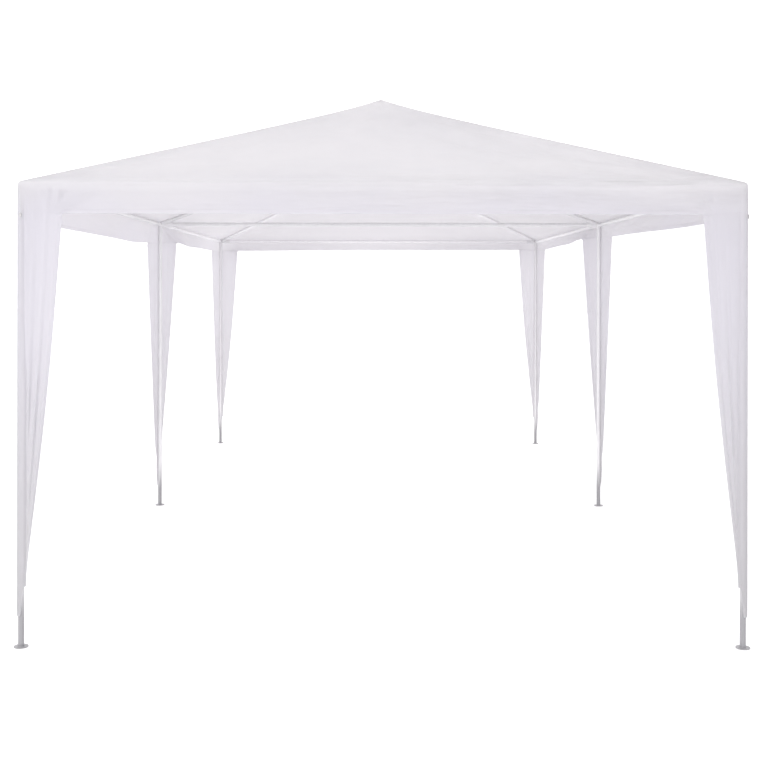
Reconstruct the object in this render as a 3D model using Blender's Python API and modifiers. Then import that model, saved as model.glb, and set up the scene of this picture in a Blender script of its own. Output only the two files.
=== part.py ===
"""Party tent: a hipped cloth roof on six steel legs, open on every side.

The tent stands on the ground at z = 0, with its ridge along Y and its front end
towards -Y. Lengths are in metres.
"""

import math

import bmesh
import bpy
from mathutils import Matrix, Vector

# Outside of the cloth
HALF_WIDTH = 1.5
HALF_LENGTH = 3.0
HEM_Z = 1.778

# Centre lines of the frame
EAVE_Z = 1.895
RIDGE_Z = 2.452

# Frame
TUBE_R = 0.0125
SLEEVE_R = 0.0145
SLEEVE_LENGTH = 0.085
SLEEVE_START = 0.004
SLEEVE_ROLL = 0.061
HUB_R = 0.016
PLATE_R = 0.029
PLATE_T = 0.003

# Cloth, and the space left between pieces that touch
CLOTH = 0.002
GAP = 0.0003

# Leg drapes: the width of a wing at the hem, at the knee and at the tip
DRAPE_TOP_WIDTH = 0.172
DRAPE_KNEE_WIDTH = 0.032
DRAPE_TIP_WIDTH = 0.022
DRAPE_KNEE_Z = 0.31
DRAPE_TIP_Z = 0.11
DRAPE_BULGE = 0.018
DRAPE_ROWS = 6
MIDDLE_FOLD_Y = 0.020
MIDDLE_FOLD_ANGLE = math.radians(37)

# What follows from the sizes above
LEG_X = HALF_WIDTH - CLOTH - GAP - HUB_R
LEG_Y = HALF_LENGTH - CLOTH - GAP - HUB_R
RIDGE_Y = LEG_Y - LEG_X
PITCH = math.atan2(RIDGE_Z - EAVE_Z, LEG_X)
CLOTH_EDGE_Z = EAVE_Z + (HUB_R + GAP) / math.cos(PITCH) - math.tan(PITCH) * (HALF_WIDTH - LEG_X)

SIDES = {"left": -1.0, "right": 1.0}
ENDS = {"front": -1.0, "middle": 0.0, "back": 1.0}
DOWN = Vector((0.0, 0.0, -1.0))
UP = Vector((0.0, 0.0, 1.0))


def clear_scene():
    """Removes the objects of the startup scene."""
    for obj in list(bpy.data.objects):
        bpy.data.objects.remove(obj, do_unlink=True)


def make_material(name, colour, roughness, metallic):
    """A Principled material of one colour."""
    material = bpy.data.materials.new(name)
    material.use_nodes = True
    shader = material.node_tree.nodes["Principled BSDF"]
    shader.inputs["Base Color"].default_value = (*colour, 1.0)
    shader.inputs["Roughness"].default_value = roughness
    shader.inputs["Metallic"].default_value = metallic
    return material


def add_object(name, data, material, collection):
    """Links an object that holds this mesh or curve."""
    obj = bpy.data.objects.new(name, data)
    if not data.materials:
        data.materials.append(material)
    collection.objects.link(obj)
    return obj


def finish_mesh(work, name, smooth):
    """Turns a bmesh into a mesh, with round pieces shaded smooth."""
    mesh = bpy.data.meshes.new(name)
    work.to_mesh(mesh)
    work.free()
    if smooth:
        mesh.shade_smooth()
        mesh.set_sharp_from_angle(angle=math.radians(35))
    return mesh


def cylinder_mesh(name, radius, height, segments):
    """A closed cylinder that stands on its own origin."""
    work = bmesh.new()
    bmesh.ops.create_cone(
        work, cap_ends=True, segments=segments, radius1=radius, radius2=radius, depth=height
    )
    bmesh.ops.translate(work, verts=work.verts, vec=UP * (height / 2))
    return finish_mesh(work, name, True)


def box_mesh(name, size):
    """A box of this size, centred on its origin."""
    work = bmesh.new()
    bmesh.ops.create_cube(work, size=1.0)
    bmesh.ops.scale(work, verts=work.verts, vec=size)
    return finish_mesh(work, name, False)


def leg_tops():
    """Where the centre lines meet over each leg."""
    tops = {}
    for end, y in ENDS.items():
        for side, x in SIDES.items():
            tops[f"{end}_{side}"] = Vector((x * LEG_X, y * LEG_Y, EAVE_Z))
    return tops


def ridge_points():
    """Where the centre lines meet along the ridge."""
    return {end: Vector((0.0, y * RIDGE_Y, RIDGE_Z)) for end, y in ENDS.items()}


def add_tube(name, start, end, material, collection):
    """A straight tube between two points, as a bevelled curve with closed ends."""
    curve = bpy.data.curves.new(name, "CURVE")
    curve.dimensions = "3D"
    curve.bevel_depth = TUBE_R
    curve.bevel_resolution = 4
    curve.use_fill_caps = True
    spline = curve.splines.new("POLY")
    spline.points.add(1)
    spline.points[0].co = (*start, 1.0)
    spline.points[1].co = (*end, 1.0)
    return add_object(name, curve, material, collection)


def add_bar(name, start, end, material, collection):
    """A tube between two joints, which stops short of the sleeve at each end."""
    along = (end - start).normalized() * (SLEEVE_LENGTH + GAP)
    return add_tube(name, start + along, end - along, material, collection)


def add_joint(name, place, arms, material, collection, cutters):
    """A ball with one sleeve along each arm, joined into one solid."""
    work = bmesh.new()
    bmesh.ops.create_uvsphere(work, u_segments=32, v_segments=20, radius=HUB_R)
    joint = add_object(name, finish_mesh(work, name, True), material, collection)
    joint.location = place
    sleeve = cylinder_mesh(name + "_sleeve", SLEEVE_R, SLEEVE_LENGTH - SLEEVE_START, 24)
    for index, arm in enumerate(arms):
        helper = add_object(f"{name}_sleeve_{index}", sleeve, material, cutters)
        turn = arm.to_track_quat("Z", "Y").to_matrix().to_4x4()
        roll = Matrix.Rotation(SLEEVE_ROLL * index, 4, "Z")
        helper.matrix_world = Matrix.Translation(place + arm * SLEEVE_START) @ turn @ roll
        helper.hide_render = True
        helper.display_type = "WIRE"
        join = joint.modifiers.new(helper.name, "BOOLEAN")
        join.operation = "UNION"
        join.solver = "EXACT"
        join.object = helper


def add_legs(steel, collection):
    """Six uprights, each on a round plate."""
    plate_mesh = cylinder_mesh("foot_plate", PLATE_R, PLATE_T, 40)
    for place, top in leg_tops().items():
        foot = Vector((top.x, top.y, 0.0))
        plate = add_object(f"foot_plate_{place}", plate_mesh, steel, collection)
        plate.location = foot
        bottom = foot + UP * (PLATE_T + GAP)
        head = top + DOWN * (SLEEVE_LENGTH + GAP)
        add_tube(f"leg_{place}", bottom, head, steel, collection)


def add_leg_joints(steel, collection, cutters):
    """A joint over each leg, with a sleeve for every tube that meets there."""
    tops = leg_tops()
    ridge = ridge_points()
    for end, y in ENDS.items():
        for side, x in SIDES.items():
            top = tops[f"{end}_{side}"]
            across = Vector((-x, 0.0, 0.0))
            rafter = (ridge[end] - top).normalized()
            if end == "middle":
                name = f"middle_joint_{side}"
                along = [Vector((0.0, -1.0, 0.0)), Vector((0.0, 1.0, 0.0))]
            else:
                name = f"corner_joint_{end}_{side}"
                along = [Vector((0.0, -y, 0.0))]
            add_joint(name, top, [DOWN, across, rafter, *along], steel, collection, cutters)


def add_eaves(steel, collection):
    """Level tubes between the leg tops, with the tie bar across the middle."""
    tops = leg_tops()
    for side in SIDES:
        front, middle, back = (tops[f"{end}_{side}"] for end in ENDS)
        add_bar(f"eave_tube_{side}_front", front, middle, steel, collection)
        add_bar(f"eave_tube_{side}_back", middle, back, steel, collection)
    for end, name in (("front", "eave_tube_front"), ("middle", "tie_bar"), ("back", "eave_tube_back")):
        add_bar(name, tops[f"{end}_left"], tops[f"{end}_right"], steel, collection)


def add_rafters(steel, collection):
    """Sloping tubes from each leg top to the ridge, and the ridge itself."""
    tops = leg_tops()
    ridge = ridge_points()
    for end in ENDS:
        kind = "middle_rafter" if end == "middle" else f"hip_rafter_{end}"
        for side in SIDES:
            add_bar(f"{kind}_{side}", tops[f"{end}_{side}"], ridge[end], steel, collection)
    add_bar("ridge_tube_front", ridge["front"], ridge["middle"], steel, collection)
    add_bar("ridge_tube_back", ridge["middle"], ridge["back"], steel, collection)


def add_ridge_joints(steel, collection, cutters):
    """A joint at each end of the ridge, and one in the middle of it."""
    tops = leg_tops()
    ridge = ridge_points()
    neighbours = {"front": ["middle"], "middle": ["front", "back"], "back": ["middle"]}
    for end, here in ridge.items():
        there = [tops[f"{end}_{side}"] for side in SIDES]
        there += [ridge[other] for other in neighbours[end]]
        arms = [(point - here).normalized() for point in there]
        add_joint(f"ridge_joint_{end}", here, arms, steel, collection, cutters)


def add_roof_panel(name, outline, turn, reach, cloth, collection):
    """A flat sheet that rises from its eave; the outline is drawn in its own plane."""
    curve = bpy.data.curves.new(name, "CURVE")
    curve.dimensions = "2D"
    curve.fill_mode = "BOTH"
    curve.extrude = CLOTH / 2
    spline = curve.splines.new("POLY")
    spline.points.add(len(outline) - 1)
    for point, (x, y) in zip(spline.points, outline):
        point.co = (x, y, 0.0, 1.0)
    spline.use_cyclic_u = True
    panel = add_object(name, curve, cloth, collection)
    lay = Matrix.Rotation(turn, 4, "Z") @ Matrix.Translation((0.0, -reach, CLOTH_EDGE_Z))
    tilt = Matrix.Rotation(PITCH, 4, "X") @ Matrix.Translation((0.0, 0.0, CLOTH / 2))
    panel.matrix_world = lay @ tilt


def add_roof(cloth, collection):
    """Two triangles over the ends and two long slopes, which meet along the hips."""
    rise = HALF_WIDTH / math.cos(PITCH)
    end_half = HALF_WIDTH - GAP
    triangle = [(-end_half, 0.0), (end_half, 0.0), (0.0, rise * end_half / HALF_WIDTH)]
    low_half = HALF_LENGTH - GAP
    high_half = low_half - HALF_WIDTH
    top = rise - GAP
    trapezium = [(-low_half, 0.0), (low_half, 0.0), (high_half, top), (-high_half, top)]
    turns = {"front": 0.0, "right": 90.0, "back": 180.0, "left": 270.0}
    for side, turn in turns.items():
        outline, reach = (trapezium, HALF_WIDTH) if side in SIDES else (triangle, HALF_LENGTH)
        name = f"roof_panel_{side}"
        add_roof_panel(name, outline, math.radians(turn), reach, cloth, collection)


def add_valance(cloth, collection):
    """A band of cloth that hangs from each eave."""
    height = CLOTH_EDGE_Z - GAP - HEM_Z
    z = HEM_Z + height / 2
    end_size = (2 * HALF_WIDTH, CLOTH, height)
    side_size = (CLOTH, 2 * (HALF_LENGTH - CLOTH - GAP), height)
    for name, size, place in (
        ("front", end_size, (0.0, CLOTH / 2 - HALF_LENGTH, z)),
        ("back", end_size, (0.0, HALF_LENGTH - CLOTH / 2, z)),
        ("left", side_size, (CLOTH / 2 - HALF_WIDTH, 0.0, z)),
        ("right", side_size, (HALF_WIDTH - CLOTH / 2, 0.0, z)),
    ):
        mesh = box_mesh(f"valance_{name}", size)
        band = add_object(f"valance_{name}", mesh, cloth, collection)
        band.location = place


def drape_rows():
    """Height and wing width of each row of a drape, from the hem to the tip."""
    top_z = HEM_Z - GAP
    rows = []
    for index in range(DRAPE_ROWS):
        share = index / (DRAPE_ROWS - 1)
        z = top_z + (DRAPE_KNEE_Z - top_z) * share
        width = DRAPE_TOP_WIDTH + (DRAPE_KNEE_WIDTH - DRAPE_TOP_WIDTH) * share
        rows.append((z, width + DRAPE_BULGE * math.sin(math.pi * share)))
    rows.append((DRAPE_TIP_Z, DRAPE_TIP_WIDTH))
    return rows


def corner_section(width):
    """Inner face of a corner drape seen from above, in the right-hand back corner."""
    x = HALF_WIDTH - CLOTH
    y = HALF_LENGTH - CLOTH
    return [(x, y - width), (x, y), (x - width, y)]


def middle_section(width):
    """Inner face of a right-hand middle drape seen from above: its back wing turns inwards."""
    x = HALF_WIDTH - CLOTH
    turned = width - MIDDLE_FOLD_Y
    back_x = x - turned * math.sin(MIDDLE_FOLD_ANGLE)
    back_y = MIDDLE_FOLD_Y + turned * math.cos(MIDDLE_FOLD_ANGLE)
    return [(x, -width), (x, MIDDLE_FOLD_Y), (back_x, back_y)]


def add_drape(name, section, side, end, cloth, collection):
    """A skirt of cloth lofted through its rows, on one side and at one end of the tent."""
    work = bmesh.new()
    rows = []
    for z, width in drape_rows():
        rows.append([work.verts.new((side * x, end * y, z)) for x, y in section(width)])
    for upper, lower in zip(rows, rows[1:]):
        for column in range(len(upper) - 1):
            ring = [upper[column], lower[column], lower[column + 1], upper[column + 1]]
            if side * end < 0:
                ring.reverse()
            work.faces.new(ring)
    drape = add_object(name, finish_mesh(work, name, False), cloth, collection)
    solid = drape.modifiers.new("Cloth", "SOLIDIFY")
    solid.thickness = CLOTH
    solid.offset = 1.0
    solid.use_even_offset = True


def add_drapes(cloth, collection):
    """A tapering skirt outside each leg."""
    for end, y in ENDS.items():
        for side, x in SIDES.items():
            section, facing = (corner_section, y) if y else (middle_section, 1.0)
            add_drape(f"leg_drape_{end}_{side}", section, x, facing, cloth, collection)


def main():
    clear_scene()
    tent = bpy.data.collections.new("Party tent")
    cutters = bpy.data.collections.new("Joint sleeves")
    cutters.hide_render = True
    bpy.context.scene.collection.children.link(tent)
    bpy.context.scene.collection.children.link(cutters)
    steel = make_material("Frame steel", (0.45, 0.45, 0.47), 0.45, 0.5)
    dark_steel = make_material("Joint steel", (0.36, 0.36, 0.38), 0.5, 0.5)
    cloth = make_material("White cloth", (0.80, 0.79, 0.81), 0.75, 0.0)
    add_legs(steel, tent)
    add_leg_joints(dark_steel, tent, cutters)
    add_eaves(steel, tent)
    add_rafters(steel, tent)
    add_ridge_joints(dark_steel, tent, cutters)
    add_roof(cloth, tent)
    add_valance(cloth, tent)
    add_drapes(cloth, tent)


main()
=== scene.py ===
import math

import bmesh
import bpy
from mathutils import Matrix, Vector, noise


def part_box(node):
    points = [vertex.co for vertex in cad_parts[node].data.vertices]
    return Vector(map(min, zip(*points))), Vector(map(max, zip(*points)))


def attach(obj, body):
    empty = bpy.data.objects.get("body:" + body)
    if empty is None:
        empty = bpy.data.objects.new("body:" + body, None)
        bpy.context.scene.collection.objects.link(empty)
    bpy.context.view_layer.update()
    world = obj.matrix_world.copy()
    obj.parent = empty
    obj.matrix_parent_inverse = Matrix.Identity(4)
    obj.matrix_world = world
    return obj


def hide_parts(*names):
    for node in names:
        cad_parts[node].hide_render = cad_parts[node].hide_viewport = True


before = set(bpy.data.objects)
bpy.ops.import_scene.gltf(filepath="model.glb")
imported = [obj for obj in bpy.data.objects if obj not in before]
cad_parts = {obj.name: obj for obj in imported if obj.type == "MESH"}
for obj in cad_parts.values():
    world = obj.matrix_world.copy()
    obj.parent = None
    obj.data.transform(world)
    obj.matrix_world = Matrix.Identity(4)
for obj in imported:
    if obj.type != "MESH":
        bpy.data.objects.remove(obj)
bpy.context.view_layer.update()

# White party tent: a hipped roof of woven sheeting on six steel legs, with a cloth skirt at each leg.
# Lengths are metres. The front end looks towards -Y and the ridge runs along Y.


def middleOf(node):
    low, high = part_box(node)
    return (low + high) / 2


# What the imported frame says
legX = middleOf("leg_front_right").x
legY = middleOf("leg_back_right").y
eaveZ = middleOf("tie_bar").z
ridgeZ = middleOf("ridge_tube_front").z
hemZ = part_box("valance_front")[0].z
tubeR = (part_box("leg_front_left")[1].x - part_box("leg_front_left")[0].x) / 2
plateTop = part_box("foot_plate_front_left")[1].z
pitch = math.atan2(ridgeZ - eaveZ, legX)
ridgeY = legY - legX
sides = {"left": -1.0, "right": 1.0}
ends = {"front": -1.0, "middle": 0.0, "back": 1.0}


def smooth(value):
    value = min(1.0, max(0.0, value))
    return value * value * (3.0 - 2.0 * value)


def bell(value, centre, width):
    return math.exp(-(((value - centre) / width) ** 2))


def wander(x, y, z=0.0):
    return noise.noise(Vector((x, y, z)))


# Shaders

class Flow:
    # One socket of a material, which sums and products can use
    def __init__(self, tree, socket=None):
        self.tree = tree
        self.socket = socket

    def node(self, kind, settings=None, sockets=None, out=0):
        made = self.tree.nodes.new("ShaderNode" + kind)
        for key, value in (settings or {}).items():
            if key == "stops":
                ramp = made.color_ramp
                for index, (place, shade) in enumerate(value):
                    stop = ramp.elements[index] if index < 2 else ramp.elements.new(place)
                    stop.position = place
                    stop.color = (shade, shade, shade, 1.0)
            else:
                setattr(made, key, value)
        for key, value in (sockets or {}).items():
            if isinstance(value, Flow):
                self.tree.links.new(value.socket, made.inputs[key])
            else:
                made.inputs[key].default_value = value
        return Flow(self.tree, made.outputs[out])

    def math(self, operation, first, second=0.0, close=0.0008):
        # close is how near two values count as the same in COMPARE
        return self.node("Math", {"operation": operation}, {0: first, 1: second, 2: close})

    def step(self, value, low, high):
        # 0 up to low and 1 from high on, or the other way round where high is the smaller one
        sockets = {0: value, 1: low, 2: high, 3: 0.0, 4: 1.0}
        return self.node("MapRange", {"interpolation_type": "SMOOTHSTEP"}, sockets)

    def __add__(self, other):
        return self.math("ADD", self, other)

    def __sub__(self, other):
        return self.math("SUBTRACT", self, other)

    def __rsub__(self, other):
        return self.math("SUBTRACT", other, self)

    def __mul__(self, other):
        return self.math("MULTIPLY", self, other)

    __radd__ = __add__
    __rmul__ = __mul__


def startMaterial(name):
    # A new material, the flow of its nodes and the place on its object
    material = bpy.data.materials.new(name)
    material.use_nodes = True
    material.node_tree.nodes.clear()
    flow = Flow(material.node_tree)
    return material, flow, flow.node("TexCoord", out="Object")


def axisOf(flow, vector, axis):
    return flow.node("SeparateXYZ", None, {0: vector}, out=axis)


def bumpOf(flow, height, strength=1.0):
    sockets = {"Strength": strength, "Distance": 1.0, "Height": height}
    return flow.node("Bump", None, sockets, out="Normal")


def endMaterial(flow, shader):
    output = flow.tree.nodes.new("ShaderNodeOutputMaterial")
    flow.tree.links.new(shader.socket, output.inputs["Surface"])


def noiseOf(flow, place, scale, detail=3.0, rough=0.5, stretch=(1.0, 1.0, 1.0)):
    spread = flow.node("VectorMath", {"operation": "MULTIPLY"}, {0: place, 1: stretch})
    sockets = {"Vector": spread, "Scale": scale, "Detail": detail, "Roughness": rough}
    return flow.node("TexNoise", None, sockets)


def blend(flow, share, first, second):
    sockets = {"Factor": share, 6: first, 7: second}
    return flow.node("Mix", {"data_type": "RGBA"}, sockets, out=2)


# The cloth's own Y at the rim, the eave's middle and the valance's top, and the valance's height
clothRun = {"rim": 2.0, "eave": 2.04, "valance": 2.03, "drop": 0.117}
clothLook = {
    "light": (0.690, 0.678, 0.692),
    "dark": (0.625, 0.618, 0.640),
    "through": (0.700, 0.693, 0.705),
    "paintedLowShade": 0.84,           # painted shade of the lowest cloth, darker towards the bottom
    "paintedLowShadeZ": (1.50, 0.25),  # where that shade begins, and where it is full
    "seeThrough": 0.585,
    "inside": (0.93, 0.92, 0.935),
    "insideThrough": 0.80,
    # Painted cool light of the sky on the hanging cloth, and the heights where it begins and where it is
    # full
    "paintedSkyTint": (0.655, 0.642, 0.705),
    "paintedSkyTintZ": (1.98, 1.70),
    # Painted light over a tube that lies behind the cloth, which lifts the tube's shadow
    "backed": (0.900, 0.890, 0.910),
    "onTube": 0.5,           # share of the painted light where a tube lies behind the cloth
    "tubeBlocks": 0.13,      # how much less light comes through there
    "roughness": 0.52,
    "tape": 0.0024,          # one woven tape of the sheeting
    "tapeDepth": 0.00006,
    "patches": 1.7,          # scale of the soft patches of tone
    "crumple": 11.0,         # and of the crumpling
    "crumpleDepth": 0.0011,
    "fine": 60.0,
    "fineDepth": 0.00012,
    "hem": 0.016,            # width of a hem
    "seam": 0.012,           # half the width of a seam
    "noSeam": 9.0,           # what keeps the distance to a seam large where there is none
    "stitch": 0.006,
    "stitchDepth": 0.0003,
    "stitchIn": 0.002,       # how far inside the double cloth the stitches run
    "doubleDepth": 0.0006,
    "doubleShade": 0.04,
    "fold": 0.030,           # relief of the folds along the hips and the eaves
    "paintedFoldShade": 0.40,
    "hipFolds": 0.8,         # how far they reach from a hip
    "eaveFolds": 0.32,       # and from an eave
    "foldsX": (-0.8, 0.6),
    "lee": 0.068,            # shade of the side away from the light
    "leeX": (0.1, 1.7),
    "farThrough": 0.12,      # more light through the back end, seen from inside
    "farEave": 0.22,         # and more still along its eave
    "farY": (1.2, 2.9),
    "farSkirts": 0.09,       # more light into the skirts of the middle and back legs
    "skirtsY": (-1.5, -0.5),
    "skirtsZ": (1.80, 1.70),
    "backEnd": 0.15,         # and into the valance at the back
    "backEndY": (2.6, 2.95),
}


def clothFinish(name, seeThrough, through, backed=0.0):
    # clothPlace: the cloth's own coordinates, and in Z how close a tube lies behind it
    # hemPlace: in X the distance to the cloth's edge, and in Y the run along it
    look = clothLook
    material, flow, solid = startMaterial(name)
    place = flow.node("Attribute", {"attribute_name": "clothPlace"}, out="Vector")
    edge = flow.node("Attribute", {"attribute_name": "hemPlace"}, out="Vector")
    along, down, tube = [axisOf(flow, place, axis) for axis in "XYZ"]
    toEdge, edgeRun = axisOf(flow, edge, "X"), axisOf(flow, edge, "Y")
    placeX, placeY, placeZ = [axisOf(flow, solid, axis) for axis in "XYZ"]
    turn = math.pi / look["tape"]
    weave = flow.math("SINE", along * turn) * flow.math("SINE", down * turn)
    patches = noiseOf(flow, solid, look["patches"], 3.0, 0.55)
    crumple = noiseOf(flow, solid, look["crumple"], 3.0, 0.55, (1.0, 1.0, 0.6))
    fine = noiseOf(flow, solid, look["fine"], 2.0, 0.6)
    mixed = patches * 0.7 + crumple * 0.3
    tone = flow.node("ValToRGB", {"stops": [(0.34, 0.0), (0.62, 1.0)]}, {"Fac": mixed})
    colour = blend(flow, tone, (*look["dark"], 1.0), (*look["light"], 1.0))
    uneven = placeZ + (patches - 0.5) * 0.3
    # Painted cool light of the sky on the hanging cloth
    paintedSkyTint = flow.step(uneven, *look["paintedSkyTintZ"])
    colour = blend(flow, paintedSkyTint * 0.9, colour, (*look["paintedSkyTint"], 1.0))
    # Painted shade: the hanging cloth grows darker towards the bottom
    low = flow.step(uneven, *look["paintedLowShadeZ"])
    paintedLowShade = (*[shade * look["paintedLowShade"] for shade in look["dark"]], 1.0)
    colour = blend(flow, low, colour, paintedLowShade)
    # Painted light where a tube lies behind the cloth, lifting the tube's shadow
    colour = blend(flow, tube * backed, colour, (*look["backed"], 1.0))

    # Double cloth at the hems, and along the hips and the ridge
    x, y = flow.math("ABSOLUTE", placeX), flow.math("ABSOLUTE", placeY)
    hip = flow.math("ABSOLUTE", y - x - ridgeY) * math.sqrt(0.5)
    top = x + flow.math("MAXIMUM", y - ridgeY, 0.0) * look["noSeam"]
    onRoof = flow.step(placeZ, eaveZ, eaveZ + 0.01)
    seam = flow.math("MINIMUM", hip, top) + (1.0 - onRoof) * look["noSeam"]
    hemBand = flow.step(toEdge, look["hem"] + 0.001, look["hem"] - 0.001)
    seamBand = flow.step(seam, look["seam"] + 0.001, look["seam"] - 0.001)
    double = flow.math("MAXIMUM", hemBand, seamBand)
    onHem = flow.math("COMPARE", toEdge, look["hem"] - look["stitchIn"])
    onSeam = flow.math("COMPARE", seam, look["seam"] - look["stitchIn"])
    run = blend(flow, onRoof, edgeRun, x + y)
    taps = flow.math("MAXIMUM", flow.math("SINE", run * (2.0 * math.pi / look["stitch"])), 0.0)
    stitches = flow.math("MAXIMUM", onHem, onSeam) * taps

    # Folds that slant away from the hips and run level along the eaves, strongest on the right. They make
    # the bump, and a painted shade in the colour
    slanted = flow.node("CombineXYZ", None, {0: (x + y) * 2.1, 1: (x - y) * 4.2, 2: placeX * 0.4})
    level = flow.node("CombineXYZ", None, {0: along * 1.5, 1: down * 11.0})
    nearHip = flow.step(hip, look["hipFolds"], 0.03) * onRoof
    nearEave = flow.step(flow.math("ABSOLUTE", down - clothRun["eave"]), look["eaveFolds"], 0.05)
    folds = (noiseOf(flow, slanted, 1.0) - 0.5) * nearHip
    folds = folds + (noiseOf(flow, level, 1.0, 3.0, 0.55) - 0.5) * nearEave * 0.7
    folds = folds * (flow.step(placeX, *look["foldsX"]) * 0.75 + 0.25)
    lee = flow.step(placeX, *look["leeX"]) * onRoof * look["lee"]
    # Painted shade of the folds and of the side away from the light
    shade = (1.0 + folds * look["paintedFoldShade"] - lee) * 0.5

    rough = look["roughness"] + (fine - 0.5) * 0.22 + (patches - 0.5) * 0.12
    height = crumple * look["crumpleDepth"] + fine * look["fineDepth"] + weave * look["tapeDepth"]
    height = height + double * look["doubleDepth"] - stitches * look["stitchDepth"]
    height = height + folds * look["fold"]
    bump = bumpOf(flow, height)
    grey = flow.node("CombineXYZ", None, {0: shade, 1: shade, 2: shade})
    tinted = flow.node("VectorMath", {"operation": "MULTIPLY"}, {0: colour, 1: grey})
    tinted = flow.node("VectorMath", {"operation": "SCALE"}, {0: tinted, "Scale": 2.0})
    sockets = {"Base Color": tinted, "Roughness": rough, "Normal": bump}
    sockets.update({"IOR": 1.45, "Specular IOR Level": 0.35, "Sheen Weight": 0.04})
    front = flow.node("BsdfPrincipled", None, sockets)
    behind = flow.node("BsdfTranslucent", None, {"Color": (*look[through], 1.0), "Normal": bump})
    blocked = tube * (look["tubeBlocks"] if backed else 0.0)
    share = (1.0 - blocked) * (1.0 - double * look["doubleShade"]) * seeThrough
    if through == "inside":
        far = flow.step(placeY, *look["farY"])
        share = share * (1.0 + far * (nearEave * look["farEave"] + look["farThrough"]))
    else:
        skirts = flow.step(placeZ, *look["skirtsZ"]) * flow.step(placeY, *look["skirtsY"])
        backEnd = flow.step(placeY, *look["backEndY"]) * (1.0 - onRoof)
        share = share * (1.0 + skirts * look["farSkirts"] + backEnd * look["backEnd"])
    both = flow.node("MixShader", None, {0: share, 1: front, 2: behind})
    endMaterial(flow, both)
    return material


steelLook = {
    # The roof and joint colours are lighter copies of the same steel: painted light that lifts the shade
    # on the tubes under the roof, the joints and the middle and back legs
    "roofLight": (0.84, 0.83, 0.85, 1.0),
    "roofDark": (0.77, 0.76, 0.78, 1.0),
    "light": (0.71, 0.705, 0.72, 1.0),
    "dark": (0.63, 0.625, 0.64, 1.0),
    "jointLight": (0.76, 0.755, 0.77, 1.0),
    "jointDark": (0.69, 0.685, 0.70, 1.0),
    "soiled": (0.295, 0.29, 0.305, 1.0),
    "soilZ": (0.30, 0.10),   # where the legs begin to dull, and where they are dullest
    "metallic": 0.12,
    "roughness": 0.38,
    "matt": 0.72,            # roughness of the tubes under the roof
    "speckDepth": 0.00005,
    "rubbedDepth": 0.00008,
}


def steelFinish(name, light, dark, metallic=steelLook["metallic"], roughness=steelLook["roughness"]):
    material, flow, solid = startMaterial(name)
    height = axisOf(flow, solid, "Z")
    cloud = noiseOf(flow, solid, 9.0, 4.0, 0.6)
    speck = noiseOf(flow, solid, 260.0, 2.0, 0.6)
    rubbed = noiseOf(flow, solid, 34.0, 3.0, 0.7, (1.0, 1.0, 0.14))
    mixed = cloud * 0.55 + rubbed * 0.3 + speck * 0.15
    tone = flow.node("ValToRGB", {"stops": [(0.36, 0.0), (0.66, 1.0)]}, {"Fac": mixed})
    colour = blend(flow, tone, steelLook[dark], steelLook[light])
    soil = flow.step(height + (rubbed - 0.5) * 0.12, *steelLook["soilZ"])
    colour = blend(flow, soil, colour, steelLook["soiled"])
    rough = roughness + (rubbed - 0.5) * 0.3 + (speck - 0.5) * 0.1
    relief = speck * steelLook["speckDepth"] + rubbed * steelLook["rubbedDepth"]
    bump = bumpOf(flow, relief, 0.6)
    sockets = {"Base Color": colour, "Roughness": rough, "Metallic": metallic, "Normal": bump}
    shader = flow.node("BsdfPrincipled", None, sockets)
    endMaterial(flow, shader)
    return material


plasticLook = {
    "light": (0.50, 0.49, 0.50, 1.0),
    "dark": (0.40, 0.39, 0.40, 1.0),
    "roughness": 0.4,
}


def plasticFinish(name):
    material, flow, solid = startMaterial(name)
    grain = noiseOf(flow, solid, 420.0, 2.0, 0.6)
    cloud = noiseOf(flow, solid, 45.0, 2.0, 0.5)
    colour = blend(flow, cloud, plasticLook["dark"], plasticLook["light"])
    bump = bumpOf(flow, grain * 0.00006, 0.5)
    rough = plasticLook["roughness"] + (grain - 0.5) * 0.25
    sockets = {"Base Color": colour, "Roughness": rough, "Normal": bump}
    shader = flow.node("BsdfPrincipled", None, sockets)
    endMaterial(flow, shader)
    return material


canopyCloth = clothFinish("canopyCloth", clothLook["seeThrough"], "through", clothLook["onTube"])
clothInside = clothFinish("clothInside", clothLook["insideThrough"], "inside")
frameSteel = steelFinish("frameSteel", "light", "dark")
roofSteelPaintedLight = steelFinish("roofSteelPaintedLight", "roofLight", "roofDark", 0.0, steelLook["matt"])
jointSteelPaintedLight = steelFinish("jointSteelPaintedLight", "jointLight", "jointDark")
togglePlastic = plasticFinish("togglePlastic")
print("materials made")


# Mesh helpers

def linkObject(name, data, *materials):
    for material in materials:
        data.materials.append(material)
    made = bpy.data.objects.new(name, data)
    bpy.context.scene.collection.objects.link(made)
    return made


def gridMesh(name, rows, places, edges, closed=False):
    # Quads between rows of points, with the cloth's own coordinates kept on each point
    mesh = bpy.data.meshes.new(name)
    count = len(rows[0])
    points = [tuple(point) for row in rows for point in row]
    faces = []
    for upper in range(len(rows) - 1):
        for column in range(count if closed else count - 1):
            beside = (column + 1) % count
            here, there = upper * count + column, upper * count + beside
            faces.append((here, here + count, there + count, there))
    mesh.from_pydata(points, [], faces)
    for key, table in (("clothPlace", places), ("hemPlace", edges)):
        data = mesh.attributes.new(key, "FLOAT_VECTOR", "POINT").data
        for item, place in zip(data, [place for row in table for place in row]):
            item.vector = place
    mesh.shade_smooth()
    return mesh


def meshOf(name, work):
    mesh = bpy.data.meshes.new(name)
    work.to_mesh(mesh)
    work.free()
    mesh.shade_smooth()
    return mesh


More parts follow.
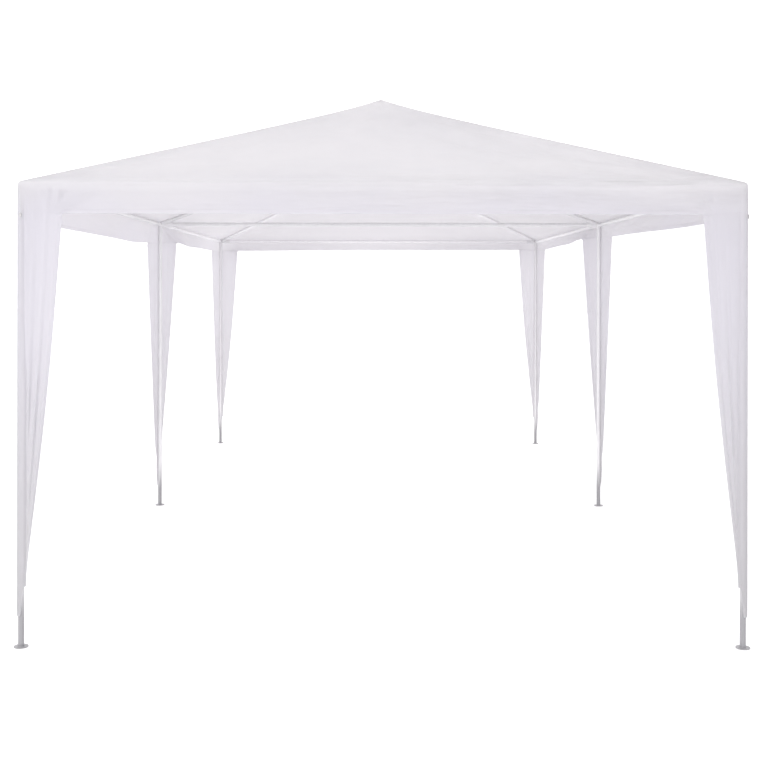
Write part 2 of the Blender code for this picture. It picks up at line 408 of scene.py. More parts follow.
def thicken(piece, depth, sharpFrom=50.0):
    # Gives a sheet its thickness outwards, with its rim kept sharp
    solid = piece.modifiers.new("Thickness", "SOLIDIFY")
    solid.thickness = depth
    solid.offset = 1.0
    solid.use_even_offset = False
    solid.material_offset = 1
    graph = bpy.context.evaluated_depsgraph_get()
    made = bpy.data.meshes.new_from_object(piece.evaluated_get(graph))
    thin = piece.data
    piece.modifiers.clear()
    piece.data = made
    bpy.data.meshes.remove(thin)
    made.name = piece.name
    made.shade_smooth()
    made.set_sharp_from_angle(angle=math.radians(sharpFrom))


# Cloth that hangs: the valance above the hem and the skirts below it

canopyLook = {
    "gap": 0.0166,           # inner face of the cloth from the tubes' centre lines
    "thick": 0.0012,
    "step": 0.031,           # between columns along an eave
    "ringStep": 0.036,       # between rows up the roof
    "firstInset": 0.012,
    "rollRows": 4,           # rows over the eave's tube
    "cornerSteps": 6,
    "hipRound": 0.012,
    "hipBlend": 0.010,
    "hipReach": 0.20,
    "ridgeRound": 0.010,
    # The values below set how close a tube lies behind the cloth, which places the painted light over the
    # tubes
    "legBacked": 0.55,       # how much a leg's tube counts against the eave's
    "legHalf": 0.010,        # half the width that it backs, and how softly that ends
    "legEdge": 0.007,
    "tubeBacked": 0.8,       # how much a tube of the roof does
    "tubeReach": 0.022,
    "rollBacked": 0.42,      # what is added on the roll over the eave's tube
    "eaveReach": 0.15,       # share of the valance's height that this tube backs
    "endSag": 0.030,
    "sideSag": 0.036,
    "apexLift": 0.022,
    "apexReach": 0.26,
    "middleLift": 0.005,     # over the joint in the middle of the ridge
    "middleReach": 0.12,
    "valanceRows": 9,
    "hemWave": 0.006,
    "smallWave": 0.0022,
    "hemShare": 0.85,        # how much of the uneven hem is kept
    "waveFrom": 0.15,        # distance from a leg where the waves of the hem begin
    "waveFull": 0.30,        # and how much farther on they are full
    "pull": 0.0085,          # folds that run from a skirt's top up the valance
    "pullFans": 11.0,
    "pullReach": 0.26,
    "merge": 0.0008,         # points closer than this become one
}
# Rise of the hem, by the distance round a rim of plainRim from the front left corner
plainRim = 18.0
hemRise = [
    (0.0, 0.0), (3.0, 0.0), (3.6, -0.006), (6.0, 0.036), (9.0, 0.046),
    (10.5, 0.046), (12.0, 0.030), (14.6, 0.002), (15.8, -0.034), (17.3, -0.033), (plainRim, 0.0),
]
drapeLook = {
    "topWidth": 0.170,
    "kneeWidth": 0.0250,
    "kneeZ": 0.31,
    "tipWidth": 0.0185,
    "bulge": 0.012,
    "tipOuterZ": 0.129,
    "tipInnerZ": 0.250,
    "round": 0.009,          # radius where the hem turns down into the skirt
    "crease": 0.0155,        # from the leg's centre line to the fold beside the tube
    "creaseDrift": 0.009,    # how much farther out that fold lies low down
    "creaseDepth": 0.0045,
    "creaseWidth": 0.0068,
    "foldShare": 0.30,       # share of a wing's columns up to the fold
    "foldEnd": 0.028,
    "foldLimit": 0.8,        # largest share of a narrow wing up to the fold
    "columns": 36,
    "rimColumns": 20,
    "rowStep": 0.028,
    "strandRun": 0.006,      # from strand to strand in the cloth's own coordinates
    "lowZ": 1.45,            # height from which its folds deepen downwards
    "pleat": 0.0016,
    "lowPleat": 0.0014,      # what is added to it half way down
    "wideFolds": 3.6,        # folds across a wing, of three kinds
    "smallFolds": 6.7,
    "sharpFolds": 2.9,
    "swingReach": 1.3,       # how far along the valance a wing's swing fades out
}
# How far the free edge of a wing swings out at the hem: side, leg and whether the wing lies after it
flares = {
    ("right", 0, -1): 0.036, ("right", 0, 1): -0.098,
    ("left", 0, 1): 0.036, ("left", 0, -1): -0.098,
    ("right", 1, -1): 0.045, ("left", 1, 1): 0.045,
    ("back", 1, 1): -0.120, ("back", -1, -1): -0.120,
}
gap = canopyLook["gap"]
rimLift = math.pi / 2 - pitch
fullWidth = drapeLook["topWidth"] + drapeLook["round"]
noEdge = 1.0    # distance to the cloth's edge where none is near


class Side:
    # One side of the rim, followed counterclockwise. A station is the distance from its first corner
    def __init__(self, name, start, way, length, spots, before):
        self.name = name
        self.start = start
        self.way = way
        self.out = (way[1], -way[0])
        self.length = length
        self.spots = spots        # where its legs stand
        self.before = before      # distance round the rim up to its first corner

    def nearest(self, station):
        # Distance to the nearest leg, and where that leg stands
        spot = min(self.spots, key=lambda place: abs(station - place))
        return abs(station - spot), spot

    def legAt(self, spot):
        part = 2.0 * spot / self.length
        return round(self.start[0] + self.way[0] * part), round(self.start[1] + self.way[1] * part)


def rimSides():
    made = {}
    before = 0.0
    for name, start, way in (
        ("front", (-1, -1), (1, 0)), ("right", (1, -1), (0, 1)),
        ("back", (1, 1), (-1, 0)), ("left", (-1, 1), (0, -1)),
    ):
        length = 2 * legX if way[0] else 2 * legY
        spots = [0.0, length] if way[0] else [0.0, length / 2, length]
        before += math.pi / 2 * gap
        made[name] = Side(name, start, way, length, spots, before)
        before += length
    return made, before


rim, rimLength = rimSides()


def hemAt(along):
    # Height of the hem, by the distance round the rim
    where = plainRim * along / rimLength
    for (low, first), (high, second) in zip(hemRise, hemRise[1:]):
        if where <= high:
            share = smooth((where - low) / (high - low))
            return hemZ + canopyLook["hemShare"] * (first + (second - first) * share)
    return hemZ


def plainWidth(z, hem):
    look = drapeLook
    share = (hem - z) / (hem - look["kneeZ"])
    if share <= 0.0:
        return look["topWidth"]
    if share >= 1.0:
        low = min(1.0, (look["kneeZ"] - z) / (look["kneeZ"] - look["tipOuterZ"]))
        return look["kneeWidth"] + (look["tipWidth"] - look["kneeWidth"]) * low
    width = look["topWidth"] + (look["kneeWidth"] - look["topWidth"]) * share
    return width + look["bulge"] * math.sin(math.pi * share)


def wingWidth(z, hem):
    # Width of one wing of a skirt, from the leg's centre line to its free edge
    turn = drapeLook["round"]
    drop = max(0.0, hem - z)
    width = plainWidth(z, hem)
    if drop < turn:
        width += turn * (1.0 - math.sqrt(1.0 - (1.0 - drop / turn) ** 2))
    return width


def wingPlace(share, width):
    # Distance from the leg's centre line of a column of a wing, with close columns beside the tube
    fold = min(drapeLook["foldEnd"], drapeLook["foldLimit"] * width)
    near = drapeLook["foldShare"]
    if share <= near:
        return fold * share / near
    return fold + (width - fold) * (share - near) / (1.0 - near)


def seedOf(side, spot, station):
    return 3.1 * list(rim).index(side.name) + 1.7 * spot + (0.9 if station > spot else 0.0)


def tubeFold(near, z):
    # How far the cloth turns in beside a tube
    look = drapeLook
    crease = look["crease"] + look["creaseDrift"] * smooth((look["lowZ"] - z) / 0.45)
    deep = look["creaseDepth"] * smooth((eaveZ - 0.01 - z) / 0.10)
    return deep * (1.0 + 0.5 * smooth((1.3 - z) / 0.6)) * bell(near, crease, look["creaseWidth"])


def pleat(side, spot, station, near, z, hem):
    # Upright folds of a wing, which run together towards its tip
    look = drapeLook
    width = plainWidth(z, hem)
    across = near / width
    if across > 1.4:
        return 0.0
    seed = seedOf(side, spot, station)
    wide = look["wideFolds"] * across + 0.17 * seed + 0.12 * math.sin(2.1 * z + seed)
    small = 2.0 * math.pi * (look["smallFolds"] * across + 0.31 * seed)
    small += 1.3 * math.sin(1.7 * z + 2.0 * seed)
    sharp = look["sharpFolds"] * across + 0.23 * seed + 0.10 * math.sin(1.9 * z + seed)
    wave = math.sin(2.0 * math.pi * wide)
    wave += 0.6 * math.sin(small)
    wave += 0.8 * (1.0 - 2.0 * abs(math.sin(math.pi * sharp)))
    wave *= 0.75 + 0.6 * wander(4.0 * across, 1.6 * z, seed)
    free = smooth((near - 0.020) / 0.022) * (1.0 - smooth((across - 0.95) / 0.4))
    begin = smooth((eaveZ - 0.008 - z) / 0.05) * (0.45 + 0.55 * smooth((hem + 0.02 - z) / 0.3))
    deep = look["pleat"] + look["lowPleat"] * smooth((look["lowZ"] - z) / 0.7)
    return deep * begin * free * wave * min(1.0, width / 0.10)


def pull(side, spot, station, near, z, hem):
    # Slanted folds from the top of a skirt up the valance
    aside = near - drapeLook["topWidth"] + 0.05
    above = z - hem + 0.012
    if aside <= 0.0 or above <= -0.02:
        return 0.0
    reach = math.hypot(aside, above)
    angle = math.atan2(above, aside)
    seed = seedOf(side, spot, station)
    fade = smooth(reach / 0.13) * math.exp(-reach / canopyLook["pullReach"])
    fade = fade * smooth((eaveZ - 0.004 - z) / 0.03) * smooth((above + 0.02) / 0.02)
    fan = math.sin(canopyLook["pullFans"] * angle + seed + 1.4 * wander(5.0 * station, 9.0 * z, seed))
    return canopyLook["pull"] * fade * fan


def hangShare(z, hem):
    # Grows from 0 at the eave to 1 at the hem
    return min(1.0, max(0.0, (eaveZ - z) / (eaveZ - hem))) ** 1.3


def swing(side, station, z, hem):
    # Some wings turn out or in, and the valance beside them with them
    width, fade = drapeLook["topWidth"], drapeLook["swingReach"]
    total = 0.0
    for spot in side.spots:
        reach = abs(station - spot)
        x, y = side.legAt(spot)
        key = (side.name, x if side.way[0] else y, 1 if station > spot else -1)
        share = reach / width if reach < width else 1.0 - smooth((reach - width) / fade)
        if reach < width:
            share = share * (1.0 - 0.12 * math.sin(math.pi * share))
        total += flares.get(key, 0.0) * share
    return total * hangShare(z, hem)


# Small creases: side, distance along it, height, half width, half height, depth and slant
creaseReach = 0.6
creases = [
    ("front", 0.086, 1.862, 0.009, 0.045, 0.0040, -0.42),
    ("front", 0.110, 1.872, 0.007, 0.034, 0.0030, -0.42),
    ("front", 0.300, 1.822, 0.100, 0.010, 0.0035, -4.0),
    ("front", 0.420, 1.842, 0.120, 0.009, 0.0030, -4.0),
    ("front", 2.100, 1.834, 0.060, 0.009, 0.0040, 2.0),
    ("front", 2.230, 1.829, 0.035, 0.009, 0.0060, -2.0),
    ("front", 2.290, 1.838, 0.030, 0.008, -0.005, 1.0),
    ("front", 2.620, 1.846, 0.150, 0.008, 0.0035, 3.0),
    ("front", 2.540, 1.812, 0.120, 0.009, 0.0035, 3.0),
    ("right", 0.500, 1.830, 0.120, 0.011, 0.0040, -4.0),
    ("right", 2.500, 1.835, 0.130, 0.010, 0.0040, 3.0),
    ("left", 0.600, 1.828, 0.140, 0.010, 0.0040, -3.0),
    ("left", 5.300, 1.836, 0.120, 0.010, 0.0040, 3.0),
    ("back", 0.500, 1.830, 0.130, 0.010, 0.0040, -3.0),
    ("back", 2.300, 1.836, 0.110, 0.010, 0.0040, 3.0),
]


def creased(side, station, z):
    total = 0.0
    for name, spot, height, wide, high, deep, slant in creases:
        if name == side.name and abs(station - spot) < creaseReach:
            across = (station - spot - slant * (z - height)) / wide
            total += deep * math.exp(-across * across - ((z - height) / high) ** 2)
    return total


def clothPoint(side, station, z, lift=0.0):
    # A point of the cloth that hangs beside the tubes, at its inner face or lifted off it
    near, spot = side.nearest(station)
    along = side.before + station
    hem = hemAt(along)
    drop = hangShare(z, hem)
    away = smooth((near - canopyLook["waveFrom"]) / canopyLook["waveFull"])
    out = gap + lift - tubeFold(near, z)
    out += canopyLook["hemWave"] * drop * away * wander(along * 2.3, 0.0, 2.0)
    out += canopyLook["smallWave"] * drop * away * wander(along * 7.0, z * 3.0, 4.0)
    out += pleat(side, spot, station, near, z, hem) + pull(side, spot, station, near, z, hem)
    out += swing(side, station, z, hem) + creased(side, station, z)
    x = legX * side.start[0] + side.way[0] * station + side.out[0] * out
    y = legY * side.start[1] + side.way[1] * station + side.out[1] * out
    return Vector((x, y, z))


def onTube(near):
    # How close a leg's tube lies behind the hanging cloth, from 0 to 1
    past = max(0.0, near - canopyLook["legHalf"])
    return canopyLook["legBacked"] * bell(past, 0.0, canopyLook["legEdge"])


# Canopy: roof, eave and valance as one sheet

class Column:
    # One line of the canopy, from the ridge down to the hem
    def __init__(self, shareX, shareY, angle, along, side=None, station=0.0):
        self.shareX = shareX  # place on the rim's rectangle, from -1 to 1
        self.shareY = shareY
        self.angle = angle    # direction that the valance faces
        self.along = along
        self.side = side      # None on the round of a corner
        self.station = station

    def backed(self):
        if self.side is None:
            return canopyLook["legBacked"]
        return onTube(self.side.nearest(self.station)[0])


def sideStations(side):
    # Distances along a side from its first leg, with close columns beside the legs
    count = drapeLook["rimColumns"]
    near = [wingPlace(index / count, fullWidth) for index in range(count + 1)]
    found = []
    for first, second in zip(side.spots, side.spots[1:]):
        found += [first + distance for distance in near]
        start, end = first + fullWidth, second - fullWidth
        steps = round((end - start) / canopyLook["step"])
        found += [start + (end - start) * index / steps for index in range(1, steps)]
        found += [second - distance for distance in reversed(near)]
        if second != side.spots[-1]:
            found.pop()
    return found


def rimColumns():
    found = []
    steps = canopyLook["cornerSteps"]
    arc = math.pi / 2 * gap
    for side in rim.values():
        facing = math.atan2(side.out[1], side.out[0])
        for step in range(1, steps):
            turn = math.pi / 2 * (step / steps - 1.0)
            found.append(Column(*side.start, facing + turn, side.before - arc * (1.0 - step / steps)))
        for station in sideStations(side):
            part = 2.0 * station / side.length
            shareX, shareY = side.start[0] + side.way[0] * part, side.start[1] + side.way[1] * part
            found.append(Column(shareX, shareY, facing, side.before + station, side, station))
    return found


columns = rimColumns()

# Depth of the roof's folds: soft hollows, streaks along the hips and the eaves, and fans at the corners
wrinkleLook = {
    "soft": 0.009,
    "streak": 0.016,
    "streakReach": 0.42,     # how far the streaks reach from a hip
    "leftShare": 0.5,        # how strong they are on the left
    "level": 0.008,
    "levelReach": 0.30,
    "fan": 0.008,
    "fans": 17.0,
    "fanReach": 0.55,
    "tubeFree": 0.08,        # distance from the rim and the ridge from which the cloth is free
    "hipFree": 0.10,
}


def roofHeight(x, y):
    # Inner face of the roof over a point of the plan
    look = canopyLook
    fromSide, fromEnd = legX - abs(x), legY - abs(y)
    ease = look["hipBlend"]
    low = min(fromSide, fromEnd) - ease * math.log1p(math.exp(-abs(fromSide - fromEnd) / ease))
    low += ease * math.log(2.0) * bell(fromSide - fromEnd, 0.0, look["hipReach"])
    top = look["ridgeRound"]
    rounded = math.sqrt(x * x + top ** 2) - top
    low = min(low, legX - rounded)
    z = eaveZ + gap / math.cos(pitch) + math.tan(pitch) * low
    depth = max(0.0, min(fromSide, fromEnd)) / legX
    if fromEnd < fromSide:
        half = max(1e-6, legX - max(0.0, fromEnd))
        across = min(1.0, abs(x) / half)
        sag = look["endSag"] * (1.0 - across ** 2) * (4.0 * depth * (1.0 - depth)) ** 2
    else:
        half = max(1e-6, legY - max(0.0, fromSide))
        along = min(1.0, abs(y) / half)
        sag = look["sideSag"] * 4.0 * along * (1.0 - along) * (4.0 * depth * (1.0 - depth)) ** 2
    z -= sag
    reach = math.hypot(x, abs(y) - ridgeY)
    z += look["apexLift"] * math.exp(-reach / look["apexReach"])
    z += look["middleLift"] * bell(math.hypot(x, y), 0.0, look["middleReach"])
    return z + roofWrinkle(x, y, fromSide, fromEnd)


def roofWrinkle(x, y, fromSide, fromEnd):
    # Small folds that never pull the cloth down onto a tube
    look = wrinkleLook
    inset, toHip = min(fromSide, fromEnd), abs(fromSide - fromEnd)
    offHip = smooth(toHip / look["hipFree"])
    offRim = smooth(inset / look["tubeFree"])
    offRidge = smooth(abs(x) / look["tubeFree"]) if fromEnd > fromSide else 1.0
    free = offHip * offRim * offRidge
    soft = wander(x * 1.5, y * 1.5, 3.1) + 0.4 * wander(x * 4.0, y * 4.0, 7.7)
    along = (abs(x) + abs(y)) * 0.7
    aside = (abs(x) - abs(y)) * 0.7
    seed = 1.0 if x > 0 else 0.0
    beside = math.exp(-toHip / look["streakReach"])
    bent = aside + 0.05 * wander(along * 1.6, aside * 2.0, 9.0 + seed)
    streak = wander(along * 1.3, bent * 9.0, 1.0 + seed)
    streak += 0.5 * wander(along * 2.6, bent * 19.0, 4.0 + seed)
    streak *= beside * (1.0 if x > 0 else look["leftShare"]) * smooth(abs(x) / 0.25)
    level = math.exp(-inset / look["levelReach"]) * wander((x + y) * 0.8, inset * 17.0, 5.0)
    reach = math.hypot(abs(x) - legX, abs(y) - legY)
    angle = math.atan2(fromEnd, fromSide)
    fan = math.sin(angle * look["fans"] + 2.5 * wander(2.0 * x, 2.0 * y))
    fan *= math.exp(-reach / look["fanReach"]) * smooth(reach / 0.1)
    total = soft * look["soft"] + streak * look["streak"]
    total += level * look["level"] + fan * look["fan"]
    return free * total


def backing(point):
    # How close a tube lies behind a point of the roof, from 0 to 1
    fromSide, fromEnd = legX - abs(point.x), legY - abs(point.y)
    closest = min(fromSide, fromEnd, abs(fromSide - fromEnd) / math.sqrt(2), abs(point.y))
    if fromEnd > fromSide:
        closest = min(closest, abs(point.x))
    return canopyLook["tubeBacked"] * bell(closest, 0.0, canopyLook["tubeReach"])


def ringPoint(column, inset):
    # A point of the roof, inset from the line of the legs
    corner = canopyLook["hipRound"] * smooth((legX - inset) / 0.2)
    reachX = max(0.0, legX - inset - corner)
    reachY = legY - inset - corner
    x = reachX * column.shareX + corner * math.cos(column.angle)
    y = reachY * column.shareY + corner * math.sin(column.angle)
    return Vector((x, y, roofHeight(x, y)))


def roundPoint(shareX, shareY, angle, out, z):
    # A point beside a leg or an eave, out from its line in the direction of an angle
    return Vector((legX * shareX + out * math.cos(angle), legY * shareY + out * math.sin(angle), z))


def valancePoint(column, share):
    # A point of the valance, from the rim (share 0) to the hem (share 1)
    z = eaveZ + (hemAt(column.along) - eaveZ) * share
    if column.side is None:
        return roundPoint(column.shareX, column.shareY, column.angle, gap, z)
    return clothPoint(column.side, column.station, z)


def edgeDistance(column, z):
    # Distance from a point of the valance to the free edge below or beside it
    if column.side is None:
        return noEdge
    short = max(0.0, fullWidth - column.side.nearest(column.station)[0])
    return math.hypot(short, z - hemAt(column.along))


def clothPiece(name, mesh):
    made = linkObject(name, mesh, canopyCloth, clothInside)
    thicken(made, canopyLook["thick"])
    return made


def buildCanopy():
    ringCount = round(legX / canopyLook["ringStep"])
    insets = [canopyLook["firstInset"]]
    insets += [legX * index / ringCount for index in range(1, ringCount + 1)]
    rows, places, edges = [], [], []
    for inset in reversed(insets):
        rows.append([ringPoint(column, inset) for column in columns])
        run = clothRun["rim"] - inset / math.cos(pitch)
        places.append([(column.along, run, backing(point)) for column, point in zip(columns, rows[-1])])
    count = canopyLook["rollRows"]
    for step in range(count):
        lift = rimLift * (1.0 - step / count)
        out, z = gap * math.cos(lift), eaveZ + gap * math.sin(lift)
        rows.append([roundPoint(column.shareX, column.shareY, column.angle, out, z) for column in columns])
        run = clothRun["rim"] + gap * (rimLift - lift)
        behind = 1.0 + canopyLook["rollBacked"] * math.sin(math.pi * (step + 1) / (count + 1))
        places.append([(column.along, run, behind) for column in columns])
    count = canopyLook["valanceRows"]
    for step in range(count + 1):
        share = step / count
        run = clothRun["valance"] + clothRun["drop"] * share
        under = bell(share, 0.0, canopyLook["eaveReach"])
        row, placeRow, edgeRow = [], [], []
        for column in columns:
            point = valancePoint(column, share)
            row.append(point)
            placeRow.append((column.along, run, max(under, column.backed())))
            edgeRow.append((edgeDistance(column, point.z), column.along + point.z, 0.0))
        rows.append(row)
        places.append(placeRow)
        edges.append(edgeRow)
    far = [(noEdge, column.along + eaveZ, 0.0) for column in columns]
    edges = [far] * (len(rows) - len(edges)) + edges
    mesh = gridMesh("canopy", rows, places, edges, closed=True)
    work = bmesh.new()
    work.from_mesh(mesh)
    bmesh.ops.remove_doubles(work, verts=work.verts, dist=canopyLook["merge"])
    bmesh.ops.dissolve_degenerate(work, edges=work.edges, dist=0.0001)
    work.to_mesh(mesh)
    work.free()
    mesh.shade_smooth()
    return clothPiece("canopy", mesh)


canopy = buildCanopy()
print("canopy made:", len(canopy.data.polygons), "faces")


# Skirts at the legs

class Strand:
    # One line of a skirt, from the hem down to the tip
    def __init__(self, side, spot, wing, share, angle=None):
        self.side = side
        self.spot = spot
        self.wing = wing      # 1 after the leg, -1 before it
        self.share = share    # place across the wing
        self.angle = angle    # set on the round of a corner
        near = wingPlace(share, fullWidth)
        self.hem = hemAt(side.before + spot + wing * near)

    def point(self, part, lift=0.0):
        # part runs from 0 at the hem to 1 at the tip
        look = drapeLook
        slant = smooth(self.share / look["foldShare"])
        tip = look["tipOuterZ"] + (look["tipInnerZ"] - look["tipOuterZ"]) * slant
        z = self.hem + (tip - self.hem) * part
        if self.angle is not None:
            return roundPoint(*self.side.start, self.angle, gap + lift, z)
        near = wingPlace(self.share, wingWidth(z, self.hem))
        return clothPoint(self.side, self.spot + self.wing * near, z, lift)

    def edge(self, part):
        # Distance to the free edge or the tip, and the run along it
        point = self.point(part)
        tip = self.point(1.0).z
        if self.angle is not None:
            return point.z - tip, point.z, 0.0
        width = wingWidth(point.z, self.hem)
        near = wingPlace(self.share, width)
        return min(width - near, point.z - tip), point.z + near, 0.0

    def backed(self):
        if self.angle is not None:
            return canopyLook["legBacked"]
        return onTube(wingPlace(self.share, fullWidth))


def strandsOf(place):
    # The strands of one leg's skirt, counterclockwise round the leg
    count = drapeLook["columns"]
    before, arc, after = [], [], []
    for side in rim.values():
        for spot in side.spots:
            if side.legAt(spot) != place:
                continue
            if spot > 0.0:
                before = [Strand(side, spot, -1, index / count) for index in range(count, -1, -1)]
            if spot < side.length:
                after = [Strand(side, spot, 1, index / count) for index in range(count + 1)]
            if spot == 0.0:
                steps = canopyLook["cornerSteps"]
                facing = math.atan2(side.out[1], side.out[0])
                turns = [facing + math.pi / 2 * (step / steps - 1.0) for step in range(1, steps)]
                arc = [Strand(side, spot, 1, 0.0, turn) for turn in turns]
    if not arc:
        after = after[1:]
    return before + arc + after


def buildDrape(place, name):
    order = strandsOf(place)
    # Close rows where the hem turns down into the skirt
    drops = [0.0, 0.0008, 0.0025, 0.005, 0.009, 0.014, 0.020]
    length = hemZ - drapeLook["tipOuterZ"]
    count = round((length - drops[-1]) / drapeLook["rowStep"])
    parts = [drop / length for drop in drops]
    parts += [parts[-1] + (1.0 - parts[-1]) * index / count for index in range(1, count + 1)]
    rows, places, edges = [], [], []
    for part in parts:
        edges.append([strand.edge(part) for strand in order])
        rows.append([strand.point(part) for strand in order])
        run = drapeLook["strandRun"]
        places.append([(index * run, part * length, each.backed()) for index, each in enumerate(order)])
    return clothPiece(name, gridMesh(name, rows, places, edges))


drapes = {}
for endName, endSign in ends.items():
    for sideName, sideSign in sides.items():
        label = f"{endName}_{sideName}"
        drapes[label] = buildDrape((int(sideSign), int(endSign)), f"skirt_{label}")
print("skirts made:", sum(len(drape.data.polygons) for drape in drapes.values()), "faces")


# Toggles at the corners

toggleLook = {
    "width": 0.012,
    "height": 0.020,
    "depth": 0.006,
    "z": 1.771,
    "lift": 0.0022,          # from the cloth's outer face to the toggle's middle
    "waist": 0.16,
}


def buildToggle(name, place, facing):
    work = bmesh.new()
    bmesh.ops.create_uvsphere(work, u_segments=24, v_segments=16, radius=0.5)
    for vert in work.verts:
        vert.co.z *= 1.0 - toggleLook["waist"] * bell(vert.co.x, 0.0, 0.12)
    size = (toggleLook["height"], toggleLook["width"], toggleLook["depth"])
    bmesh.ops.scale(work, verts=work.verts, vec=size)
    toggle = linkObject(name, meshOf(name, work), togglePlastic)
    out = Vector((math.cos(facing), math.sin(facing), 0.0))
    upright = Vector((0.0, 0.0, 1.0))
    turn = Matrix((upright, out.cross(upright), out)).transposed().to_4x4()
    away = gap + canopyLook["thick"] + toggleLook["lift"]
    toggle.matrix_world = Matrix.Translation(place + out * away) @ turn
    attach(toggle, "root")


for label, place, degrees in (
    ("front_left", (-legX, -legY), 270.0), ("front_right", (legX, -legY), 0.0),
    ("back_right", (legX, legY), 90.0), ("back_left", (-legX, legY), 180.0),
):
    buildToggle(f"toggle_{label}", Vector((*place, toggleLook["z"])), math.radians(degrees))
print("toggles made")


# Screws on the sleeves of the joints, and weld beads on the foot plates

hardLook = {
    "sleeveR": 0.0145,
    "along": 0.055,          # from the middle of a joint
    "stand": 0.0001,         # of a screw off its sleeve
    "headR": 0.0042,
    "headHigh": 0.0022,
    "slotHigh": 0.0007,
    "slotHalf": 0.0006,
    "slotReach": 0.0026,
    "aim": 0.6,              # how far below a joint's level its screws face
    "beadR": 0.0020,
    "beadOut": 0.0003,       # of a bead's middle off its tube
    "beadUneven": 0.22,
    "beadSteps": 40,
    "beadSides": 10,
}


def addScrew(work, place, way):
    # A domed head with a cross slot
    turn = way.to_track_quat("Z", "Y").to_matrix().to_4x4()
    look = hardLook
    made = bmesh.ops.create_uvsphere(work, u_segments=20, v_segments=12, radius=look["headR"])["verts"]
    for vert in made:
        x, y = vert.co.x, vert.co.y
        vert.co.z = max(0.0, vert.co.z) / look["headR"] * look["headHigh"]
        if min(abs(x), abs(y)) < look["slotHalf"] and math.hypot(x, y) < look["slotReach"]:
            vert.co.z -= look["slotHigh"]
    bmesh.ops.transform(work, matrix=Matrix.Translation(place) @ turn, verts=made)


def sleeveWays():
    # Each joint's middle, with the directions of its sleeves
    down = Vector((0.0, 0.0, -1.0))
    found = []
    for signX in (-1, 1):
        for signY in (-1, 1):
            hub = Vector((signX * legX, signY * legY, eaveZ))
            top = Vector((0.0, signY * ridgeY, ridgeZ))
            ways = [down, Vector((-signX, 0, 0)), Vector((0, -signY, 0)), (top - hub).normalized()]
            found += [(hub, way) for way in ways]
        hub = Vector((signX * legX, 0.0, eaveZ))
        ways = [down, Vector((-signX, 0, 0)), Vector((0, 1, 0)), Vector((0, -1, 0))]
        ways.append(Vector((-math.cos(pitch) * signX, 0.0, math.sin(pitch))))
        found += [(hub, way) for way in ways]
    for y in (-ridgeY, 0.0, ridgeY):
        hub = Vector((0.0, y, ridgeZ))
        for signX in (-1, 1):
            foot = Vector((signX * legX, legY * y / ridgeY, eaveZ))
            found.append((hub, (foot - hub).normalized()))
        for signY in (-1, 1):
            if abs(y + signY * ridgeY) <= ridgeY + 0.01:
                found.append((hub, Vector((0, signY, 0))))
    return found


def buildScrews():
    work = bmesh.new()
    for hub, way in sleeveWays():
        inward = Vector((0.0, 0.0, hub.z - hardLook["aim"])) - hub
        aside = (inward - way * inward.dot(way)).normalized()
        out = hardLook["sleeveR"] + hardLook["stand"]
        addScrew(work, hub + way * hardLook["along"] + aside * out, aside)
    return linkObject("joint_screws", meshOf("joint_screws", work), jointSteelPaintedLight)


def addBead(work, x, y):
    # An uneven ring where a leg meets its foot plate
    ring = []
    steps, sides = hardLook["beadSteps"], hardLook["beadSides"]
    for step in range(steps):
        turn = 2.0 * math.pi * step / steps
        uneven = wander(x + 9.0 * math.cos(turn), y + 9.0 * math.sin(turn), 2.0)
        thick = hardLook["beadR"] * (1.0 + hardLook["beadUneven"] * uneven)
        loop = []
        for part in range(sides):
            around = 2.0 * math.pi * part / sides
            out = tubeR + hardLook["beadOut"] + thick * math.cos(around)
            z = plateTop + thick * math.sin(around)
            loop.append(work.verts.new((x + out * math.cos(turn), y + out * math.sin(turn), z)))
        ring.append(loop)
    for first, second in zip(ring, ring[1:] + ring[:1]):
        for part in range(sides):
            after = (part + 1) % sides
            work.faces.new((first[part], second[part], second[after], first[after]))


def buildWelds():
    work = bmesh.new()
    for x in (-legX, legX):
        for y in (-legY, 0.0, legY):
            addBead(work, x, y)
    return linkObject("foot_welds", meshOf("foot_welds", work), frameSteel)


for piece in (buildScrews(), buildWelds()):
    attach(piece, "root")
print("screws and welds made")


# What rides and what stands for what

for piece in (canopy, *drapes.values()):
    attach(piece, "root")
roofNodes = [f"roof_panel_{side}" for side in ("front", "back", "left", "right")]
valanceNodes = [f"valance_{side}" for side in ("front", "back", "left", "right")]
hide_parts(*roofNodes, *valanceNodes)
for label, drape in drapes.items():
    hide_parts(f"leg_drape_{label}")

for nodeName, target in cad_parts.items():
    if "roof_panel" in nodeName or "valance" in nodeName or "drape" in nodeName:
        continue
    target.data.materials.clear()
    # Painted light: the tubes under the roof, the joints and the middle and back legs get the lighter
    # copies of the steel
    backEave = "eave" in nodeName and nodeName.endswith("_back")
    pale = backEave or nodeName.startswith(("hip_rafter", "ridge_tube"))
    paintedLighter = "joint" in nodeName or nodeName.startswith(("leg_middle", "leg_back"))
    finish = jointSteelPaintedLight if paintedLighter else roofSteelPaintedLight if pale else frameSteel
    target.data.materials.append(finish)
print("nodes dressed")


# Floor, light and camera

floorLook = {
    "half": 60.0,
    "z": -0.0006,
    "dark": (0.98, 0.98, 0.98, 1.0),
    "light": (0.99, 0.985, 0.99, 1.0),
}


def addFloor():
    mesh = bpy.data.meshes.new("floor")
    half, z = floorLook["half"], floorLook["z"]
    corners = [(-half, -half, z), (half, -half, z), (half, half, z), (-half, half, z)]
    mesh.from_pydata(corners, [], [(0, 1, 2, 3)])
    material, flow, solid = startMaterial("paleFloor")
    cloud = noiseOf(flow, solid, 3.0)
    colour = blend(flow, cloud, floorLook["dark"], floorLook["light"])
    sockets = {"Base Color": colour, "Roughness": 0.9, "Specular IOR Level": 0.1}
    shader = flow.node("BsdfPrincipled", None, sockets)
    endMaterial(flow, shader)
    floor = linkObject("floor", mesh, material)


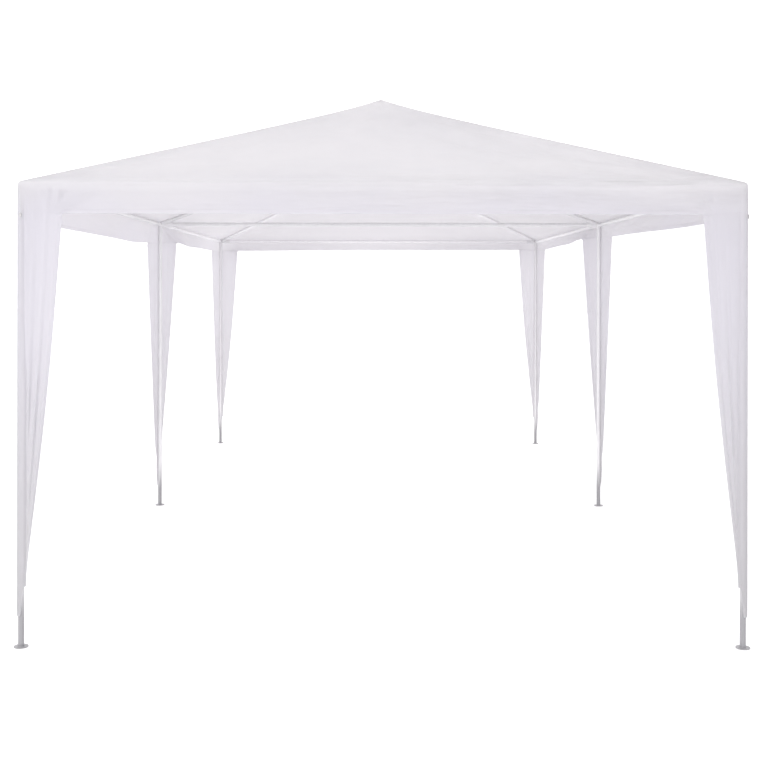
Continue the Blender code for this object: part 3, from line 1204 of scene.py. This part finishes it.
lightLook = {
    "world": 1.40,
    "from": (-0.97, 0.0, 0.22),
    "slant": 0.15,           # how much brighter the sky is towards that way
    "tint": (1.0, 0.995, 1.0, 1.0),
    "key": 130.0,
    "keySize": 3.0,
    "keyPlace": (-4.2, -9.0, 1.9),
    "keyAim": (0.0, -1.0, 1.2),
}


def addLights():
    world = bpy.data.worlds.new("studio")
    world.use_nodes = True
    flow = Flow(world.node_tree)
    ray = flow.node("TexCoord", out="Generated")
    sockets = {0: ray, 1: lightLook["from"]}
    towards = flow.node("VectorMath", {"operation": "DOT_PRODUCT"}, sockets, out="Value")
    background = world.node_tree.nodes["Background"]
    background.inputs["Color"].default_value = lightLook["tint"]
    strength = (1.0 + towards * lightLook["slant"]) * lightLook["world"]
    world.node_tree.links.new(strength.socket, background.inputs["Strength"])
    bpy.context.scene.world = world
    lamp = bpy.data.lights.new("softKey", "AREA")
    lamp.shape = "RECTANGLE"
    lamp.size = lightLook["keySize"]
    lamp.size_y = lightLook["keySize"]
    lamp.energy = lightLook["key"]
    key = linkObject("softKey", lamp)
    key.location = lightLook["keyPlace"]
    aim = Vector(lightLook["keyAim"]) - key.location
    key.rotation_euler = aim.to_track_quat("-Z", "Y").to_euler()


cameraView = {
    "place": (-0.0319, -7.5994, 1.4866),
    "focal": 1124.6,         # in pixels of the frame
    "centre": (374.82, 285.13),
    "roll": 0.0018,
    "frame": 768.0,
}


def addCamera():
    data = bpy.data.cameras.new("camera")
    data.sensor_width = 36.0
    data.lens = cameraView["focal"] / cameraView["frame"] * data.sensor_width
    half = cameraView["frame"] / 2
    data.shift_x = (half - cameraView["centre"][0]) / cameraView["frame"]
    data.shift_y = (cameraView["centre"][1] - half) / cameraView["frame"]
    data.clip_end = 300.0
    camera = linkObject("camera", data)
    level = Matrix.Rotation(math.pi / 2, 4, "X")
    roll = Matrix.Rotation(cameraView["roll"], 4, "Z")
    camera.matrix_world = Matrix.Translation(cameraView["place"]) @ level @ roll
    bpy.context.scene.camera = camera


addFloor()
addLights()
addCamera()
bpy.context.scene.view_settings.view_transform = "Standard"
bpy.context.scene.cycles.diffuse_bounces = 8
print("floor, lights and camera set")
